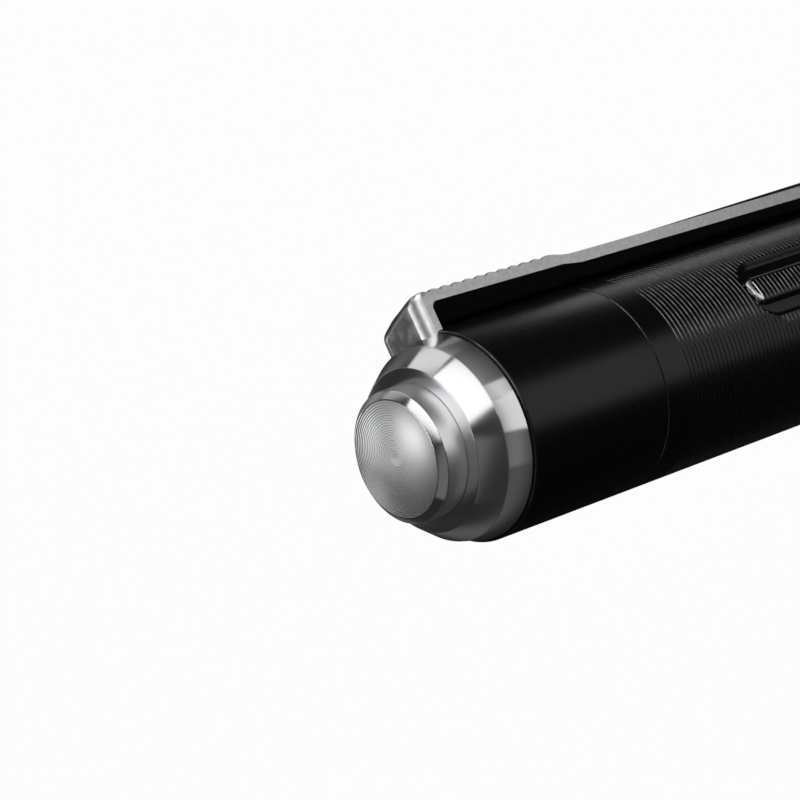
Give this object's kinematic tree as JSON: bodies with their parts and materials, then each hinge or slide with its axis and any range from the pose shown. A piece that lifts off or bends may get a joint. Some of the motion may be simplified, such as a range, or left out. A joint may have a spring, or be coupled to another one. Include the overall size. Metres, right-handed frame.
{
  "type": "penlight",
  "caption": "Slim round penlight with a black grooved barrel, steel pocket clip and steel tail push button; the tail cap unscrews to load the cells.",
  "frame": {"origin": "on the light's axis at the flat front face of the head's bezel, where the light stands on its head", "axes": "+Z along the light from the head to the tail button, +X towards the pocket clip"},
  "size_m": [0.0153, 0.013, 0.134],
  "materials": {
    "steel": "polished",
    "clip_steel": "satin",
    "black_anodised": "black anodised, satin",
    "rubber": "matte",
    "lens": "polished",
    "reflector": "polished",
    "white_plastic": "matte",
    "dark_plastic": "matte",
    "emitter": "glossy",
    "white_board": "matte",
    "board": "satin",
    "brass": "satin",
    "contact": "polished",
    "cell": "satin wrap"
  },
  "bodies": {
    "light_body": {"barrel": "black_anodised", "front_cell": "cell", "rear_cell": "cell", "head_housing": "black_anodised", "head_seal": "rubber", "front_bezel": "steel", "lens_gasket": "rubber", "lens": "lens", "reflector": "reflector", "led_gasket": "white_plastic", "led_emitter": "emitter", "led_board": "white_board", "heat_sink": "brass", "driver_board": "board", "driver_ring": "brass", "positive_spring": "contact"},
    "tail_contact": {"tail_spring": "contact"},
    "tail_cap": {"tail_sleeve": "black_anodised", "tail_seal": "rubber", "tail_nut": "steel", "clip_ring": "clip_steel", "switch_board": "board", "switch_contact": "contact", "switch_housing": "dark_plastic", "return_spring": "steel"},
    "button": {"tail_button": "steel", "button_seal": "rubber", "switch_plunger": "white_plastic"},
    "clip": {"clip_arm": "clip_steel"}
  },
  "joints": [
    {"name": "cap_travel", "type": "slide", "parent": "light_body", "child": "tail_contact", "axis": [0, 0, 1], "range_m": [0, 0.0048]},
    {"name": "cap_turn", "type": "hinge", "parent": "tail_contact", "child": "tail_cap", "pos_m": [0, 0, 0.12], "axis": [0, 0, 1], "range_deg": [0, 2160]},
    {"name": "button_press", "type": "slide", "parent": "tail_cap", "child": "button", "axis": [0, 0, -1], "range_m": [0, 0.0011], "stiffness_N_per_m": 1500, "springref_m": -0.001, "deforming": ["return_spring"]},
    {"name": "clip_flex", "type": "hinge", "parent": "tail_cap", "child": "clip", "pos_m": [0.00875, 0, 0.128], "axis": [0, -1, 0], "range_deg": [0, 4], "stiffness_Nm_per_rad": 2.5}
  ],
  "couplings": [
    {"joint": "cap_travel", "follows": "cap_turn", "m_per_rad": 0.00012732}
  ]
}
